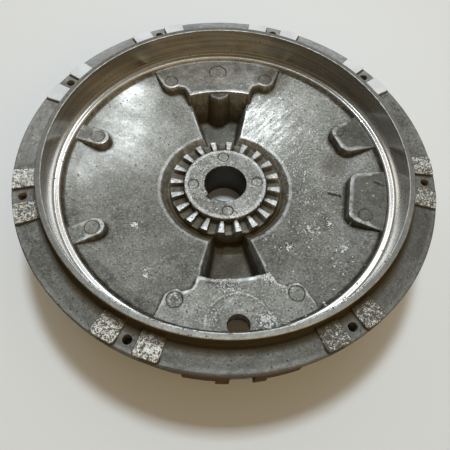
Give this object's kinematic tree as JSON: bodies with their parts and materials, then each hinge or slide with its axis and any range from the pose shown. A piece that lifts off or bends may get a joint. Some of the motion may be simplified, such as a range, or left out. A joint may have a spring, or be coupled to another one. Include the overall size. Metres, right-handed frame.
{
  "type": "flywheel",
  "caption": "Die-cast aluminium engine flywheel with dished web, keyed hub bore, ratchet teeth, lug flange and a laminated ignition magnet group set in the rim",
  "frame": {"origin": "middle of the hub's lower face, on the wheel's axis", "axes": "+Z along the wheel's axis towards the dished face, +Y towards the plateau with the post, -Y towards the magnet group"},
  "size_m": [0.204, 0.204, 0.0482],
  "materials": {
    "casting": "as cast, with machined bands",
    "lamination": "dull, stained brown",
    "magnet": "ground, dull",
    "rivet": "dull"
  },
  "bodies": {
    "root": {"flywheel_casting": "casting", "ignition_magnet": "magnet", "left_shoe_lamination_01": "lamination", "left_shoe_lamination_02": "lamination", "left_shoe_lamination_03": "lamination", "left_shoe_lamination_04": "lamination", "left_shoe_lamination_05": "lamination", "left_shoe_lamination_06": "lamination", "left_shoe_lamination_07": "lamination", "left_shoe_lamination_08": "lamination", "left_shoe_lamination_09": "lamination", "left_shoe_lamination_10": "lamination", "left_shoe_lamination_11": "lamination", "left_shoe_rivet_near": "rivet", "left_shoe_rivet_far": "rivet", "right_shoe_lamination_01": "lamination", "right_shoe_lamination_02": "lamination", "right_shoe_lamination_03": "lamination", "right_shoe_lamination_04": "lamination", "right_shoe_lamination_05": "lamination", "right_shoe_lamination_06": "lamination", "right_shoe_lamination_07": "lamination", "right_shoe_lamination_08": "lamination", "right_shoe_lamination_09": "lamination", "right_shoe_lamination_10": "lamination", "right_shoe_lamination_11": "lamination", "right_shoe_rivet_near": "rivet", "right_shoe_rivet_far": "rivet"}
  },
  "joints": []
}
